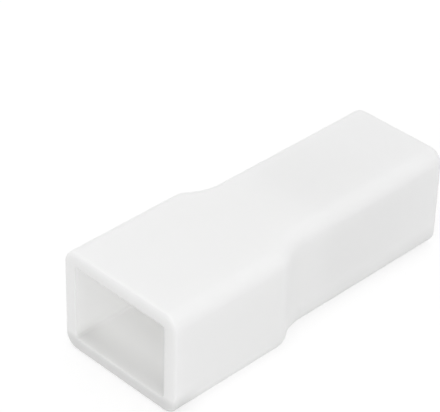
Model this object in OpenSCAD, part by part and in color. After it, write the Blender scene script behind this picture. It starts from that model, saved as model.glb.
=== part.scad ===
// In-line housing for one flat tab terminal, moulded in one piece in natural nylon.
// A wide mating section steps down through a waist to a narrower wire section.
// Frame: +Z up, long axis along Y, mouth towards -Y, wire entry towards +Y,
// origin at the middle of the underside. Stations along Y are counted from the mouth.

/* [Outside] */
// Length from the mouth to the wire entry
housing_l = 30.5; // [28:0.5:34]
// Height, the same over the whole length
housing_h = 9; // [8.6:0.1:10.5]
// Width of the mating section
mating_w = 12; // [11.6:0.1:13]
// Width of the wire section
wire_w = 9.5; // [9.3:0.1:10.1]
// Station where the sides start to draw in
waist_y = 11; // [9:0.1:12]
// Radius of the rounded shoulders of the waist
shoulder_r = 1.7; // [1.5:0.1:2.4]
// Radius along the four long edges
edge_r = 1.2; // [0.6:0.1:1.4]
// Radius round the outside of the two end rims
rim_r = 0.3; // [0.1:0.05:0.4]

/* [Mating socket] */
// Wall of the mating section
mating_wall = 1.2; // [0.9:0.05:1.4]
// Corner radius inside the socket
socket_r = 0.3; // [0.3:0.05:0.9]
// How far the socket runs on past the start of the waist
socket_past_waist = 0.4; // [0:0.1:0.8]
// Side wall of the neck behind the socket
neck_wall = 1.15; // [0.9:0.05:1.25]
// Radius round the inside edge of the mouth
mouth_r = 0.1; // [0.1:0.05:0.4]

/* [Terminal] */
// Width of the tab
tab_w = 6.3; // [6:0.1:6.4]
// Thickness of the tab
tab_t = 0.8; // [0.5:0.1:1]
// Length of the tab from its shoulders to its tip
tab_l = 15.9; // [14:0.1:16.5]
// Width over the shoulders that stop the terminal
tab_shoulder_w = 7.45; // [7.2:0.05:7.6]
// Distance from the shoulders to the free end of the locking lance
lance_reach = 1.2; // [1:0.05:2]

/* [Terminal fits] */
// How far the tip of the tab stays behind the mouth
tip_setback = 1.3; // [0.8:0.1:2]
// Clearance on each side of the tab in its slot
slot_play = 0.2; // [0.1:0.05:0.3]
// Clearance on each side of the shoulders in the wire chamber
chamber_play = 0.1; // [0.05:0.05:0.2]
// Play of the lance behind the partition that it locks on
lance_play = 0.2; // [0.1:0.05:0.4]
// Top and bottom wall of the wire chamber
chamber_wall = 1; // [0.8:0.05:1.3]
// Corner radius inside the wire chamber
chamber_r = 0.7; // [0.3:0.05:0.9]
// Radius round the inside edge of the wire entry
entry_r = 0.4; // [0.1:0.05:0.5]
// Height and depth of the lead-in bevels above and below the slot
slot_bevel = 0.5; // [0.2:0.05:0.6]

/* [Hidden] */
$fn = 72;
// How far a cutter runs on into the space in front of it
past = 1;
// Overlap between the solids that make up one body
lap = 0.1;

// The line through the centres of the two arcs of a side is the long side of a 3-4-5 triangle:
// this sets how far the side turns, and keeps the arcs tangent.
waist_turn = acos(4 / 5);
waist_in = (mating_w - wire_w) / 2;
centre_gap = 5 * waist_in;
foot_r = centre_gap - shoulder_r;
wire_y = waist_y + centre_gap * 3 / 5;
shoulder_c = [mating_w / 2 - shoulder_r, waist_y];
foot_c = [wire_w / 2 + foot_r, wire_y];

socket_w = mating_w - 2 * mating_wall;
socket_h = housing_h - 2 * mating_wall;
socket_l = waist_y + socket_past_waist;
neck_w = wire_w - 2 * neck_wall;

stop_y = tip_setback + tab_l;
partition_t = lance_reach - lance_play;
catch_y = stop_y - partition_t;
slot_w = tab_w + 2 * slot_play;
slot_h = tab_t + 2 * slot_play;
chamber_w = tab_shoulder_w + 2 * chamber_play;
chamber_h = housing_h - 2 * chamber_wall;
chamber_l = housing_l - stop_y;

// Strip of a wall between the radii skin and deep, whose two corners at the skin are rounded.
module edge_strip(skin, deep, height, r) {
    inward = sign(deep - skin);
    near = min(skin, deep);
    reach = abs(deep - skin);
    translate([min(skin + inward * r, deep), 0]) square([reach - r, height]);
    translate([near, r]) square([reach, height - 2 * r]);
    intersection() {
        translate([near, 0]) square([reach, height]);
        for (z = [r, height - r]) translate([skin + inward * r, z]) circle(r);
    }
}

// Strip of a solid end: x runs out to the surface, y on to the end, whose edge is rounded.
module rim_strip(reach, length, r) {
    square([reach, length - r]);
    square([reach - r, length]);
    translate([reach - r, length - r]) circle(r);
}

// Strip of a hollow with a rounded lip: it flares out to the end face and runs past it.
module lip_strip(reach, length, r) {
    translate([0, -past]) square([reach, length + past]);
    translate([0, -past]) square([reach + r, past]);
    difference() {
        square([reach + r, r]);
        translate([reach + r, r]) circle(r);
    }
}

// Sweeps a strip, whose x starts at the corner centres, round a rectangle with corners of radius r.
module swept_rectangle(w, h, r) {
    centre = [w / 2 - r, h / 2 - r];
    for (turn = [0 : 3]) {
        across = centre[turn % 2];
        along = centre[(turn + 1) % 2];
        rotate([0, 0, 90 * turn]) {
            translate([across, along, 0]) rotate_extrude(angle = 90) children();
            translate([across, 0, 0]) rotate([90, 0, 0]) linear_extrude(2 * along, center = true) children();
        }
    }
}

// Square bar in the middle of a swept rectangle, from z1 to z2, whose faces lie inset from the skin.
module middle_bar(w, h, inset, z1, z2) {
    translate([inset - w / 2, inset - h / 2, z1]) cube([w - 2 * inset, h - 2 * inset, z2 - z1]);
}

// Solid block with rounded long edges, from a flat lower end to a rounded rim at its upper end.
module rounded_block(w, h, l) {
    swept_rectangle(w, h, edge_r) rim_strip(edge_r, l, rim_r);
    middle_bar(w, h, (edge_r + rim_r) / 2, 0, l);
}

// Cutter for a rectangular hollow with corner radius r and a rounded lip at its lower end.
module lipped_hollow(w, h, r, l, lip_r) {
    swept_rectangle(w, h, r) lip_strip(r, l, lip_r);
    middle_bar(w, h, r / 2, -past, l);
}

// Lays what is drawn up from z = 0 along the housing, from the station y towards the wire entry.
module towards_entry(y) {
    translate([0, y, housing_h / 2]) rotate([-90, 0, 0]) children();
}

// The same, from the station y towards the mouth.
module towards_mouth(y) {
    translate([0, y, housing_h / 2]) rotate([90, 0, 0]) children();
}

// Mating section, from the waist to the mouth
module mating_section() {
    towards_mouth(waist_y) rounded_block(mating_w, housing_h, waist_y);
}

// Wire section, from the foot of the waist to the wire entry
module wire_section() {
    towards_entry(wire_y) rounded_block(wire_w, housing_h, housing_l - wire_y);
}

// One side of the waist: a rounded shoulder that runs into a hollow foot, with rounded edges.
// Both are walls revolved through waist_turn, which meet on the line through their centres.
module waist_side() {
    translate(shoulder_c) rotate_extrude(angle = waist_turn) edge_strip(shoulder_r, 0, housing_h, edge_r);
    translate(foot_c) rotate([0, 0, 180]) rotate_extrude(angle = waist_turn)
        edge_strip(foot_r, centre_gap, housing_h, edge_r);
}

// Middle of the waist, which stops short of the rounded edges
module waist_core() {
    core_w = 2 * shoulder_c.x;
    core_r = foot_r + (edge_r + shoulder_r) / 2;
    linear_extrude(housing_h) difference() {
        translate([-core_w / 2, waist_y - lap]) square([core_w, wire_y - waist_y + 2 * lap]);
        for (side = [-1, 1]) translate([side * foot_c.x, foot_c.y]) circle(core_r);
    }
}

module waist() {
    waist_core();
    waist_side();
    mirror([1, 0, 0]) waist_side();
}

// Socket for the mating housing, and the narrower neck behind it, up to the partition
module socket() {
    towards_entry(0) lipped_hollow(socket_w, socket_h, socket_r, socket_l, mouth_r);
    towards_entry(0) linear_extrude(catch_y) rounded_rectangle(neck_w, socket_h, socket_r);
}

// Chamber for the crimped end of the terminal, up to the partition
module wire_chamber() {
    towards_mouth(housing_l) lipped_hollow(chamber_w, chamber_h, chamber_r, chamber_l, entry_r);
}

// Slot for the tab through the partition, with bevels that guide the tip in from the chamber
module tab_slot() {
    bevel_y = stop_y - slot_bevel;
    half = slot_h / 2;
    translate([0, 0, housing_h / 2]) rotate([90, 0, 90])
        linear_extrude(slot_w, center = true)
            polygon([
                [catch_y - past, -half],
                [bevel_y, -half],
                [stop_y, -half - slot_bevel],
                [stop_y + past, -half - slot_bevel],
                [stop_y + past, half + slot_bevel],
                [stop_y, half + slot_bevel],
                [bevel_y, half],
                [catch_y - past, half]
            ]);
}

module rounded_rectangle(w, h, r) {
    square([w - 2 * r, h], center = true);
    square([w, h - 2 * r], center = true);
    for (x = [-1, 1], y = [-1, 1]) translate([x * (w / 2 - r), y * (h / 2 - r)]) circle(r);
}

module housing() {
    color("whitesmoke")
        translate([0, -housing_l / 2, 0])
            difference() {
                union() {
                    mating_section();
                    waist();
                    wire_section();
                }
                socket();
                wire_chamber();
                tab_slot();
            }
}

housing();
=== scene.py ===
"""Tab terminal housing in natural nylon: the moulded body, its finish, a studio and a camera."""

import logging
import math
from dataclasses import dataclass
from enum import Enum

import bmesh
import bpy
from mathutils import Matrix, Vector


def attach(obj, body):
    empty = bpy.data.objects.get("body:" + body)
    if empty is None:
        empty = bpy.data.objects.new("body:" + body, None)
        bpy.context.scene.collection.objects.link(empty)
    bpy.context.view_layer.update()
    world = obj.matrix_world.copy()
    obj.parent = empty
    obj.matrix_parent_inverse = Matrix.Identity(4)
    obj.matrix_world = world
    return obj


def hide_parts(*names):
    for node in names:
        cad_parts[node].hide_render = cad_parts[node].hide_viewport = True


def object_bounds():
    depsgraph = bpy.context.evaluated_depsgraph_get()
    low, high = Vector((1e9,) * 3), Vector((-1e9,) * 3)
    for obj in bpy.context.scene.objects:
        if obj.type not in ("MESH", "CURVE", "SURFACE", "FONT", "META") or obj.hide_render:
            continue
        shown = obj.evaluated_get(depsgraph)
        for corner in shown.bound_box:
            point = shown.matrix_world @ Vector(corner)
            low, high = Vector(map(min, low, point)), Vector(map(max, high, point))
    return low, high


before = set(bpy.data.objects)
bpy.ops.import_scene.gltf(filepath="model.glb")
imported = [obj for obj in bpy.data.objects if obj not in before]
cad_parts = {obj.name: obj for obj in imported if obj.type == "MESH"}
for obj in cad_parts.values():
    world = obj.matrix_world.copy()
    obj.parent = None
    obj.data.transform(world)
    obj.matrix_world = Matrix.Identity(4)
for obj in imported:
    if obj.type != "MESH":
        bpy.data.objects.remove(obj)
CAD_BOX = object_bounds()

log = logging.getLogger("tab_terminal_housing")

MM = 0.001
# The sRGB standard's curve: a straight toe, and a power above it
TOE_END, TOE_SLOPE = 0.04045, 12.92
CURVE_OFFSET, CURVE_POWER = 0.055, 2.4
# The size that gives a bmesh grid a side of 1
UNIT_GRID = 0.5
# Points nearer than this, in millimetres, count as one
TOUCH = 1e-4
# How far a cutter runs on past the surface that it opens
PAST = 1.0
# Edges that turn by less than this, in degrees, are cleared away after the hollows are cut
FLAT_DEG = 0.1
# An edge of an end face is a rim where it turns by more than this, in radians
RIM_TURN = 0.5
# The line through the centres of a side's two arcs is the long side of this triangle, whose
# other two sides run along Y and along X
CENTRE_TRIANGLE = (3, 4, 5)
# How many faces make up each rounding, and how many edges each arc of the waist
CORNER_STEPS = 8
SHOULDER_STEPS = 10
FOOT_STEPS = 14
EDGE_STEPS = 12
RIM_STEPS = 4


def linear(hex_colour: str) -> tuple[float, float, float, float]:
    """Turns an sRGB colour into the linear values that the shader sockets take.

    Args:
        hex_colour: The colour as "#RRGGBB".

    Returns:
        Red, green, blue and an alpha of 1, linear.
    """
    channels = [int(hex_colour[i : i + 2], 16) / 255 for i in (1, 3, 5)]
    red, green, blue = (
        c / TOE_SLOPE if c <= TOE_END else ((c + CURVE_OFFSET) / (1 + CURVE_OFFSET)) ** CURVE_POWER
        for c in channels
    )
    return red, green, blue, 1.0


def find_socket(side: bpy.types.bpy_prop_collection, key: str | int) -> bpy.types.NodeSocket:
    """Finds a socket by its place, or by its name among those that the node's settings leave on.

    Args:
        side: The node's inputs or its outputs.
        key: The socket's index or its name.

    Returns:
        The socket.
    """
    if isinstance(key, int):
        return side[key]
    return next(s for s in side if s.name == key and s.enabled)


def add_node(
    tree: bpy.types.NodeTree,
    kind: str,
    settings: dict[str, object] | None = None,
    links: dict[str | int, bpy.types.NodeSocket] | None = None,
) -> bpy.types.Node:
    """Adds a node with its settings and its incoming links.

    Args:
        tree: The node tree that takes the node.
        kind: The node's type, such as "ShaderNodeBump".
        settings: The node's own properties and the constant values of its inputs, by name.
        links: The output socket to join to each input, by the input's name or place.

    Returns:
        The new node.
    """
    node = tree.nodes.new(kind)
    for name, value in (settings or {}).items():
        if hasattr(node, name):
            setattr(node, name, value)
        else:
            find_socket(node.inputs, name).default_value = value
    for key, source in (links or {}).items():
        tree.links.new(source, find_socket(node.inputs, key))
    return node


def clear_tree(owner: bpy.types.Material | bpy.types.World) -> bpy.types.NodeTree:
    """Gives a material or a world an empty node tree.

    Args:
        owner: The material or world.

    Returns:
        Its node tree.
    """
    owner.use_nodes = True
    owner.node_tree.nodes.clear()
    return owner.node_tree


def seen_directly(tree: bpy.types.NodeTree) -> bpy.types.NodeSocket:
    """Tells rays that show a backdrop as it looks from those that only carry its light.

    Args:
        tree: The backdrop's nodes.

    Returns:
        1 for camera, glossy and transmission rays, and 0 for the rest.
    """
    path = add_node(tree, "ShaderNodeLightPath")
    seen = path.outputs["Is Camera Ray"]
    for ray in ("Is Glossy Ray", "Is Transmission Ray"):
        either = add_node(
            tree, "ShaderNodeMath", {"operation": "MAXIMUM"}, {0: seen, 1: path.outputs[ray]}
        )
        seen = either.outputs[0]
    return seen


@dataclass(frozen=True)
class NaturalNylon:
    """Natural, unpigmented nylon 6/6, injection moulded in a fine-blasted steel tool.

    The resin is milky: light runs a millimetre or two into a wall before it comes back, so edges
    and slender walls glow, and light gets into the hollows through the walls. It clouds unevenly
    as the melt cools. Shade is painted into its colour as well: a painted shade greys it towards
    the wire end, and a darker painted shade lies on it towards the bottom, most near the mouth and
    less from the middle back, and on the end face of the mouth. The blasted tool leaves a satin
    skin, in which the flow of the melt along the housing shows as streaks.
    """

    clear: str = "#FBFBFA"
    cloudy: str = "#FFFFFF"
    cloud_mm: float = 6.0
    cloud_detail: float = 3.0
    cloud_roughness: float = 0.45
    # Painted shade: greyer towards the wire end
    wire_end_shade_grey: str = "#F4F4F4"
    # Painted shade: darker towards the bottom, most near the mouth, and on the end face of the
    # mouth
    bottom_and_mouth_shade_grey: str = "#D8D8D8"
    # Where each painted shade starts and ends: along Y, but along Z for the height of the bottom's
    # shade
    wire_end_shade_mm: tuple[float, float] = (5.0, 15.5)
    bottom_shade_height_mm: tuple[float, float] = (0.7, 2.4)
    bottom_shade_mouth_mm: tuple[float, float] = (-15.25, -11.3)
    bottom_shade_rear_mm: tuple[float, float] = (-7.0, 0.0)
    end_face_shade_mm: tuple[float, float] = (-15.22, -15.0)
    # How far the rear of the bottom and the end face of the mouth go towards the painted shade's
    # grey
    bottom_shade_rear_share: float = 0.35
    end_face_shade_share: float = 0.55
    ior: float = 1.53
    light_path_mm: float = 2.0
    satin: tuple[float, float] = (0.46, 0.58)
    streak_mm: float = 0.7
    streak_length_mm: float = 9.0
    streak_detail: float = 2.0
    # The values of the streaks' noise that give the brightest and the dullest satin
    streak_limits: tuple[float, float] = (0.3, 0.7)
    # Blasting leaves pits of about 0.05 mm; they are drawn coarser, so that they show at all
    grain_mm: float = 0.15
    grain_depth_mm: float = 0.004
    # A wall sinks by a few hundredths of a millimetre over a centimetre as it cools
    sink_mm: float = 7.0
    sink_depth_mm: float = 0.03
    relief_detail: float = 1.0

    def material(self) -> bpy.types.Material:
        """Builds the finish.

        Returns:
            The material, ready for a slot.
        """
        made = bpy.data.materials.new("natural nylon, moulded satin")
        tree = clear_tree(made)
        place = add_node(tree, "ShaderNodeTexCoord").outputs["Object"]
        shader = add_node(
            tree,
            "ShaderNodeBsdfPrincipled",
            {
                "IOR": self.ior,
                "Subsurface Weight": 1.0,
                "Subsurface Radius": (1.0, 1.0, 1.0),
                "Subsurface Scale": self.light_path_mm * MM,
            },
            {
                "Base Color": self.milk(tree, place),
                "Roughness": self.sheen(tree, place),
                "Normal": self.skin(tree, place),
            },
        )
        add_node(tree, "ShaderNodeOutputMaterial", links={"Surface": shader.outputs["BSDF"]})
        return made

    def milk(self, tree: bpy.types.NodeTree, place: bpy.types.NodeSocket) -> bpy.types.NodeSocket:
        """Clouds the resin, and greys it with painted shade towards the wire end, the bottom and
        the mouth.

        Args:
            tree: The material's nodes.
            place: The position on the piece, in metres.

        Returns:
            The colour.
        """
        cloud = add_node(
            tree,
            "ShaderNodeTexNoise",
            {
                "Scale": 1 / (self.cloud_mm * MM),
                "Detail": self.cloud_detail,
                "Roughness": self.cloud_roughness,
            },
            {"Vector": place},
        )
        resin = add_node(
            tree,
            "ShaderNodeMix",
            {"data_type": "RGBA", "A": linear(self.clear), "B": linear(self.cloudy)},
            {"Factor": cloud.outputs["Fac"]},
        )
        wire_end_shade, bottom_and_mouth_shade = self.painted_shades(tree, place)
        # Painted shade: greyer towards the wire end
        wire_end_shaded = add_node(
            tree,
            "ShaderNodeMix",
            {"data_type": "RGBA", "B": linear(self.wire_end_shade_grey)},
            {"Factor": wire_end_shade, "A": find_socket(resin.outputs, "Result")},
        )
        # Painted shade: darker towards the bottom and on the end face of the mouth
        shaded_resin = add_node(
            tree,
            "ShaderNodeMix",
            {"data_type": "RGBA", "blend_type": "MULTIPLY", "B": linear(self.bottom_and_mouth_shade_grey)},
            {"Factor": bottom_and_mouth_shade, "A": find_socket(wire_end_shaded.outputs, "Result")},
        )
        return find_socket(shaded_resin.outputs, "Result")

    def painted_shades(
        self, tree: bpy.types.NodeTree, place: bpy.types.NodeSocket
    ) -> tuple[bpy.types.NodeSocket, bpy.types.NodeSocket]:
        """Works out how far each place takes each of the two painted shades.

        Args:
            tree: The material's nodes.
            place: The position on the piece, in metres.

        Returns:
            The share of the painted shade towards the wire end, and that of the one at the bottom
            and mouth.
        """
        axes = add_node(tree, "ShaderNodeSeparateXYZ", links={"Vector": place})
        fades = []
        for axis, (start_mm, end_mm), (first, last) in (
            ("Y", self.wire_end_shade_mm, (0.0, 1.0)),
            ("Z", self.bottom_shade_height_mm, (1.0, 0.0)),
            ("Y", self.bottom_shade_mouth_mm, (1.0, 0.0)),
            ("Y", self.bottom_shade_rear_mm, (0.0, self.bottom_shade_rear_share)),
            ("Y", self.end_face_shade_mm, (self.end_face_shade_share, 0.0)),
        ):
            fade = add_node(
                tree,
                "ShaderNodeMapRange",
                {
                    "interpolation_type": "SMOOTHSTEP",
                    "From Min": start_mm * MM,
                    "From Max": end_mm * MM,
                    "To Min": first,
                    "To Max": last,
                },
                {"Value": axes.outputs[axis]},
            )
            fades.append(fade.outputs["Result"])
        wire_end_shade, height, mouth, rear, end_face = fades
        # The painted shade at the bottom: full at the mouth, none just behind it, part of it from
        # the middle back
        along = add_node(tree, "ShaderNodeMath", {"operation": "MAXIMUM"}, {0: mouth, 1: rear})
        under = add_node(
            tree, "ShaderNodeMath", {"operation": "MULTIPLY"}, {0: along.outputs[0], 1: height}
        )
        bottom_and_mouth_shade = add_node(
            tree, "ShaderNodeMath", {"operation": "MAXIMUM"}, {0: under.outputs[0], 1: end_face}
        )
        return wire_end_shade, bottom_and_mouth_shade.outputs[0]

    def sheen(self, tree: bpy.types.NodeTree, place: bpy.types.NodeSocket) -> bpy.types.NodeSocket:
        """Draws the flow of the melt as faint streaks of duller and brighter satin.

        Args:
            tree: The material's nodes.
            place: The position on the piece, in metres.

        Returns:
            The roughness.
        """
        across, along = 1 / (self.streak_mm * MM), 1 / (self.streak_length_mm * MM)
        stretched = add_node(
            tree, "ShaderNodeMapping", {"Scale": (across, along, across)}, {"Vector": place}
        )
        streak = add_node(
            tree,
            "ShaderNodeTexNoise",
            {"Scale": 1.0, "Detail": self.streak_detail},
            {"Vector": stretched.outputs["Vector"]},
        )
        brightest, dullest = self.satin
        low, high = self.streak_limits
        sheen = add_node(
            tree,
            "ShaderNodeMapRange",
            {"From Min": low, "From Max": high, "To Min": brightest, "To Max": dullest},
            {"Value": streak.outputs["Fac"]},
        )
        return sheen.outputs["Result"]

    def skin(self, tree: bpy.types.NodeTree, place: bpy.types.NodeSocket) -> bpy.types.NodeSocket:
        """Lays the blasted grain over the slight sink of the walls.

        Args:
            tree: The material's nodes.
            place: The position on the piece, in metres.

        Returns:
            The bent normal.
        """
        sink = add_node(
            tree,
            "ShaderNodeTexNoise",
            {"Scale": 1 / (self.sink_mm * MM), "Detail": self.relief_detail},
            {"Vector": place},
        )
        walls = add_node(
            tree,
            "ShaderNodeBump",
            {"Distance": self.sink_depth_mm * MM},
            {"Height": sink.outputs["Fac"]},
        )
        pits = add_node(
            tree,
            "ShaderNodeTexNoise",
            {"Scale": 1 / (self.grain_mm * MM), "Detail": self.relief_detail},
            {"Vector": place},
        )
        grain = add_node(
            tree,
            "ShaderNodeBump",
            {"Distance": self.grain_depth_mm * MM},
            {"Height": pits.outputs["Fac"], "Normal": walls.outputs["Normal"]},
        )
        return grain.outputs["Normal"]


@dataclass(frozen=True)
class LightTable:
    """White acrylic table, matt and lit softly from below, that fades out to white."""

    # The light that it gives the housing
    matt: str = "#909090"
    glow: float = 0.4
    # What is seen of it
    shown_matt: str = "#BCBCBC"
    shown_glow: float = 0.575

    def material(self) -> bpy.types.Material:
        """Builds the finish: one face for what is seen, and a plainer one for the light it gives.

        Returns:
            The material, ready for a slot.
        """
        made = bpy.data.materials.new("white acrylic, matt, lit from below")
        tree = clear_tree(made)
        faces = []
        for colour, level in ((self.matt, self.glow), (self.shown_matt, self.shown_glow)):
            matt = add_node(tree, "ShaderNodeBsdfDiffuse", {"Color": linear(colour)})
            glow = add_node(tree, "ShaderNodeEmission", {"Strength": level})
            face = add_node(
                tree, "ShaderNodeAddShader", links={0: matt.outputs[0], 1: glow.outputs[0]}
            )
            faces.append(face.outputs[0])
        plain, shown = faces
        table = add_node(
            tree, "ShaderNodeMixShader", links={0: seen_directly(tree), 1: plain, 2: shown}
        )
        add_node(tree, "ShaderNodeOutputMaterial", links={"Surface": table.outputs[0]})
        return made


def new_object(bm: bmesh.types.BMesh, name: str) -> bpy.types.Object:
    """Turns a bmesh into an object of the scene, and frees the bmesh.

    Args:
        bm: The finished bmesh.
        name: The name of the object and of its mesh.

    Returns:
        The object, at the origin.
    """
    mesh = bpy.data.meshes.new(name)
    bm.to_mesh(mesh)
    bm.free()
    made = bpy.data.objects.new(name, mesh)
    bpy.context.scene.collection.objects.link(made)
    return made


def run_to(bm: bmesh.types.BMesh, vert: bmesh.types.BMVert, station: float) -> bmesh.types.BMVert:
    """Runs a straight edge along Y to a station.

    Args:
        bm: The bmesh with the vertex.
        vert: Where the edge starts.
        station: Where it ends, along Y.

    Returns:
        The vertex at its end.
    """
    end = bmesh.ops.extrude_vert_indiv(bm, verts=[vert])["verts"][0]
    end.co.y = station
    return end


def swing(
    bm: bmesh.types.BMesh, vert: bmesh.types.BMVert, centre: Vector, angle: float, steps: int
) -> bmesh.types.BMVert:
    """Runs an arc round a centre, at one height.

    Args:
        bm: The bmesh with the vertex.
        vert: Where the arc starts.
        centre: The centre that it turns round.
        angle: How far it turns, in radians, seen from above.
        steps: How many edges make up the arc.

    Returns:
        The vertex at its end.
    """
    swung = bmesh.ops.spin(
        bm, geom=[vert], cent=centre, axis=(0, 0, 1), angle=angle, steps=steps
    )
    return next(v for v in swung["geom_last"] if isinstance(v, bmesh.types.BMVert))


def rise(bm: bmesh.types.BMesh, face: bmesh.types.BMFace, by: Vector) -> None:
    """Pulls a flat face out into a closed solid, and leaves the face as its near end.

    Args:
        bm: The bmesh with the face.
        face: The flat outline.
        by: How far and which way the new end is pulled.
    """
    new = bmesh.ops.extrude_face_region(bm, geom=[face], use_keep_orig=True)
    pulled = [v for v in new["geom"] if isinstance(v, bmesh.types.BMVert)]
    bmesh.ops.translate(bm, vec=by, verts=pulled)
    bmesh.ops.recalc_face_normals(bm, faces=bm.faces)


def round_edges(
    bm: bmesh.types.BMesh, edges: list[bmesh.types.BMEdge], radius: float, steps: int
) -> None:
    """Rounds edges with a quarter circle.

    Args:
        bm: The bmesh with the edges.
        edges: The edges to round.
        radius: The radius, in millimetres.
        steps: How many faces make up the rounding.
    """
    bmesh.ops.bevel(
        bm,
        geom=edges,
        offset=radius,
        offset_type="OFFSET",
        segments=steps,
        profile=0.5,
        affect="EDGES",
        clamp_overlap=False,
        material=-1,
    )


def rounded_bar(
    width: float, height: float, radius: float, start: float, end: float
) -> bmesh.types.BMesh:
    """Makes a bar along Y with rounded long edges, centred on X and Z.

    Args:
        width: Its size along X, in millimetres.
        height: Its size along Z.
        radius: The radius of its long edges, or 0 for sharp ones.
        start: Its lower end along Y.
        end: Its upper end along Y.

    Returns:
        The bar as a closed bmesh.
    """
    bm = bmesh.new()
    bmesh.ops.create_grid(bm, x_segments=1, y_segments=1, size=UNIT_GRID)
    bmesh.ops.scale(bm, vec=(width, height, 1), verts=bm.verts)
    if radius:
        bmesh.ops.bevel(
            bm,
            geom=bm.verts,
            offset=radius,
            offset_type="OFFSET",
            segments=CORNER_STEPS,
            profile=0.5,
            affect="VERTICES",
            material=-1,
        )
    bmesh.ops.rotate(bm, matrix=Matrix.Rotation(math.radians(90), 3, "X"), verts=bm.verts)
    bmesh.ops.translate(bm, vec=(0, start, 0), verts=bm.verts)
    rise(bm, bm.faces[:][0], Vector((0, end - start, 0)))
    return bm


def carve(body: bpy.types.Object, cutter: bmesh.types.BMesh) -> None:
    """Cuts a solid out of an object's mesh.

    Args:
        body: The object that is cut.
        cutter: The solid, which is used up.
    """
    knife = new_object(cutter, "cutter")
    cut = body.modifiers.new("cut", "BOOLEAN")
    cut.operation, cut.solver, cut.object = "DIFFERENCE", "EXACT", knife
    evaluated = body.evaluated_get(bpy.context.evaluated_depsgraph_get())
    carved = bpy.data.meshes.new_from_object(evaluated)
    body.modifiers.remove(cut)
    body.data = carved
    bpy.data.objects.remove(knife)


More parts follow.
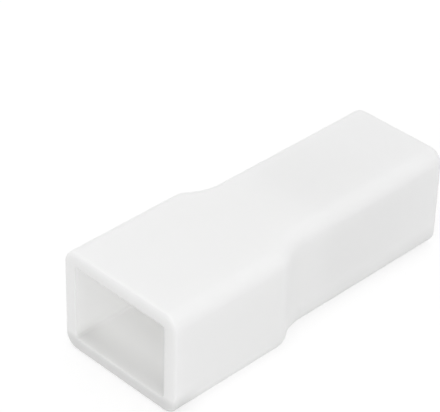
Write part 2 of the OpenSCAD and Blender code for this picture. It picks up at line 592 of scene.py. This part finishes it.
@dataclass
class HousingBody:
    """The one-piece moulded body: a wide mating end, a waist and a narrower wire end.

    Sizes are in millimetres. Stations are counted along Y from the mouth. The socket, the neck
    and the chamber are each a width, a height and a corner radius, the partition is its two
    stations, and the slot is a width and a height.
    """

    length: float = 30.5
    height: float = 9.0
    mating_width: float = 12.0
    wire_width: float = 9.5
    shoulder_station: float = 11.0
    shoulder_radius: float = 1.7
    edge_radius: float = 1.2
    rim_radius: float = 0.3
    socket: tuple[float, float, float] = (9.6, 6.6, 0.3)
    socket_end: float = 11.4
    neck: tuple[float, float, float] = (7.2, 6.6, 0.3)
    partition: tuple[float, float] = (16.2, 17.2)
    slot: tuple[float, float] = (6.7, 1.2)
    slot_bevel: float = 0.5
    chamber: tuple[float, float, float] = (7.65, 7.0, 0.7)
    mouth_lip: float = 0.1
    entry_lip: float = 0.4
    smooth_below_deg: float = 30.0

    def outline(self, bm: bmesh.types.BMesh) -> bmesh.types.BMFace:
        """Draws the plan of the body, whose sides turn in at the waist in two tangent arcs.

        Args:
            bm: The empty bmesh that takes the outline.

        Returns:
            The plan as one face at Z = 0.
        """
        along, across, slant = CENTRE_TRIANGLE
        turn = math.acos(across / slant)
        draw_in = (self.mating_width - self.wire_width) / 2
        gap = draw_in * slant / (slant - across)
        foot_radius = gap - self.shoulder_radius
        foot_station = self.shoulder_station + gap * along / slant
        shoulder = Vector((self.mating_width / 2 - self.shoulder_radius, self.shoulder_station, 0))
        foot = Vector((self.wire_width / 2 + foot_radius, foot_station, 0))
        tip = bmesh.ops.create_vert(bm, co=(self.mating_width / 2, 0, 0))["vert"][0]
        tip = run_to(bm, tip, self.shoulder_station)
        tip = swing(bm, tip, shoulder, turn, SHOULDER_STEPS)
        tip = swing(bm, tip, foot, -turn, FOOT_STEPS)
        run_to(bm, tip, self.length)
        bmesh.ops.mirror(bm, geom=bm.verts[:] + bm.edges[:], axis="X", merge_dist=0.0)
        for station in (0.0, self.length):
            ends = [v for v in bm.verts if abs(v.co.y - station) < TOUCH]
            bmesh.ops.contextual_create(bm, geom=ends)
        return bmesh.ops.contextual_create(bm, geom=bm.edges)["faces"][0]

    def shell(self) -> bmesh.types.BMesh:
        """Raises the outline to the full height and rounds the long edges.

        Returns:
            The body without its hollows.
        """
        bm = bmesh.new()
        rise(bm, self.outline(bm), Vector((0, 0, self.height)))
        long_edges = [
            edge
            for edge in bm.edges
            if abs(edge.verts[0].co.z - edge.verts[1].co.z) < TOUCH
            and abs(edge.verts[0].co.y - edge.verts[1].co.y) > TOUCH
        ]
        round_edges(bm, long_edges, self.edge_radius, EDGE_STEPS)
        bmesh.ops.translate(bm, vec=(0, 0, -self.height / 2), verts=bm.verts)
        return bm

    def hollows(self) -> list[bmesh.types.BMesh]:
        """Makes the cutters for the socket, the neck behind it, the wire chamber and the tab slot.

        Returns:
            The cutters, in the order in which they cut.
        """
        catch, stop = self.partition
        bevel = self.slot_bevel
        flare = rounded_bar(*self.slot, 0, stop - bevel, stop + bevel)
        for vert in flare.verts:
            if vert.co.y > stop:
                vert.co.z += math.copysign(2 * bevel, vert.co.z)
        return [
            rounded_bar(*self.socket, -PAST, self.socket_end),
            rounded_bar(*self.neck, self.socket_end - PAST, catch),
            rounded_bar(*self.chamber, stop, self.length + PAST),
            rounded_bar(*self.slot, 0, catch - PAST, stop + PAST),
            flare,
        ]

    def rims(self, bm: bmesh.types.BMesh) -> None:
        """Rounds the outer rims of both ends and the lips of both openings.

        Args:
            bm: The hollowed body.
        """
        for station, (width, height, _), lip in (
            (0.0, self.socket, self.mouth_lip),
            (self.length, self.chamber, self.entry_lip),
        ):
            inside, outside = [], []
            for edge in bm.edges:
                if any(abs(v.co.y - station) > TOUCH for v in edge.verts):
                    continue
                if edge.calc_face_angle(0.0) < RIM_TURN:
                    continue
                middle = (edge.verts[0].co + edge.verts[1].co) / 2
                in_width = abs(middle.x) < width / 2 + TOUCH
                in_height = abs(middle.z) < height / 2 + TOUCH
                rim = inside if in_width and in_height else outside
                rim.append(edge)
            round_edges(bm, inside, lip, RIM_STEPS)
            round_edges(bm, [e for e in outside if e.is_valid], self.rim_radius, RIM_STEPS)

    def build(self) -> bpy.types.Object:
        """Makes the body.

        Returns:
            The finished piece, at the origin.
        """
        body = new_object(self.shell(), "housing_body")
        for cutter in self.hollows():
            carve(body, cutter)
        bm = bmesh.new()
        bm.from_mesh(body.data)
        bmesh.ops.remove_doubles(bm, verts=bm.verts, dist=TOUCH)
        bmesh.ops.dissolve_limit(
            bm, angle_limit=math.radians(FLAT_DEG), verts=bm.verts, edges=bm.edges
        )
        self.rims(bm)
        log.info("%s: %d open edges", body.name, sum(not e.is_manifold for e in bm.edges))
        for face in bm.faces:
            face.smooth = True
        for edge in bm.edges:
            edge.smooth = edge.calc_face_angle(0.0) < math.radians(self.smooth_below_deg)
        bmesh.ops.translate(bm, vec=(0, -self.length / 2, self.height / 2), verts=bm.verts)
        bmesh.ops.scale(bm, vec=(MM, MM, MM), verts=bm.verts)
        bm.to_mesh(body.data)
        bm.free()
        body.data.name = "housing_body"
        weighted = body.modifiers.new("even faces", "WEIGHTED_NORMAL")
        weighted.keep_sharp = True
        return body

    def dress(self, body: bpy.types.Object) -> None:
        """Gives the body its finish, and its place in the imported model.

        Args:
            body: The finished piece.
        """
        body.data.materials.append(NaturalNylon().material())
        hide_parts("housing")
        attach(body, "root")


class Softbox(Enum):
    """The studio's lamps: where each hangs, in metres, its width and its power in watts."""

    SIDE = ((0.924, -0.647, 0.41), 0.6, 1.2)
    FRONT = ((0.18, -1.136, 0.32), 0.6, 1.2)

    def hang(self) -> None:
        """Hangs the lamp, aimed at the middle of the table."""
        place, width, power = self.value
        lamp = bpy.data.lights.new(f"softbox_{self.name.lower()}", "AREA")
        lamp.shape, lamp.size, lamp.energy = "SQUARE", width, power
        hung = bpy.data.objects.new(lamp.name, lamp)
        hung.location = place
        hung.rotation_euler = (-Vector(place)).to_track_quat("-Z", "Y").to_euler()
        bpy.context.scene.collection.objects.link(hung)


@dataclass
class Studio:
    """A light table in an evenly lit white room."""

    room: str = "#FFFFFF"
    room_level: float = 0.87
    seen_level: float = 1.0
    table_width: float = 6.0
    # The table stays a hair below the housing, so that the two faces never share a plane
    table_gap_mm: float = 0.03
    # Light goes round many times inside a milky, hollow part before it dies out
    diffuse_bounces: int = 32
    most_bounces: int = 40

    def set_table(self) -> None:
        """Sets the table under the housing."""
        bm = bmesh.new()
        bmesh.ops.create_grid(bm, x_segments=1, y_segments=1, size=self.table_width / 2)
        bmesh.ops.translate(bm, vec=(0, 0, -self.table_gap_mm * MM), verts=bm.verts)
        table = new_object(bm, "light_table")
        table.data.materials.append(LightTable().material())

    def light_room(self) -> None:
        """Lights the room evenly, and shows it white."""
        world = bpy.data.worlds.new("white room")
        tree = clear_tree(world)
        level = add_node(
            tree,
            "ShaderNodeMapRange",
            {"To Min": self.room_level, "To Max": self.seen_level},
            {"Value": seen_directly(tree)},
        )
        light = add_node(
            tree,
            "ShaderNodeBackground",
            {"Color": linear(self.room)},
            {"Strength": level.outputs["Result"]},
        )
        add_node(tree, "ShaderNodeOutputWorld", links={"Surface": light.outputs["Background"]})
        bpy.context.scene.world = world

    def build(self) -> None:
        """Sets up the table, the room and the lamps."""
        self.set_table()
        self.light_room()
        for lamp in Softbox:
            lamp.hang()
        cycles = bpy.context.scene.cycles
        cycles.diffuse_bounces, cycles.max_bounces = self.diffuse_bounces, self.most_bounces
        bpy.context.scene.view_settings.view_transform = "Standard"


@dataclass
class Viewpoint:
    """The camera, by its bearing round the housing and its distance from the middle."""

    bearing_deg: float = 44.51
    height_deg: float = 35.17
    roll_deg: float = 1.63
    distance_mm: float = 158.1
    slide_mm: tuple[float, float] = (3.432, -3.309)
    lens_mm: float = 166.77
    sensor_mm: float = 36.0
    nearest_mm: float = 10.0

    def place(self) -> None:
        """Sets up the camera and makes it the scene's."""
        low, high = CAD_BOX
        target = (Vector(low) + Vector(high)) / 2
        bearing, height, roll = map(
            math.radians, (self.bearing_deg, self.height_deg, self.roll_deg)
        )
        reach = math.cos(height)
        back = Vector((math.sin(bearing) * reach, -math.cos(bearing) * reach, math.sin(height)))
        level = Vector((0, 0, 1)).cross(back).normalized()
        upright = back.cross(level)
        right = level * math.cos(roll) + upright * math.sin(roll)
        top = upright * math.cos(roll) - level * math.sin(roll)
        across, along = (slide * MM for slide in self.slide_mm)
        place = target + back * self.distance_mm * MM - right * across - top * along
        lens = bpy.data.cameras.new("camera")
        lens.lens, lens.sensor_fit, lens.sensor_width = self.lens_mm, "HORIZONTAL", self.sensor_mm
        lens.clip_start = self.nearest_mm * MM
        camera = bpy.data.objects.new("camera", lens)
        turned = Matrix((right, top, back)).transposed().to_4x4()
        camera.matrix_world = Matrix.Translation(place) @ turned
        bpy.context.scene.collection.objects.link(camera)
        bpy.context.scene.camera = camera


def main() -> None:
    """Builds the camera, the housing and the studio, in order."""
    Viewpoint().place()
    housing = HousingBody()
    body = housing.build()
    housing.dress(body)
    log.info("%s: %d faces", body.name, len(body.data.polygons))
    Studio().build()
    log.info("studio: table, room and %d lamps", len(Softbox))


if __name__ == "__main__":
    logging.basicConfig(level=logging.INFO, format="%(name)s: %(message)s")
    main()
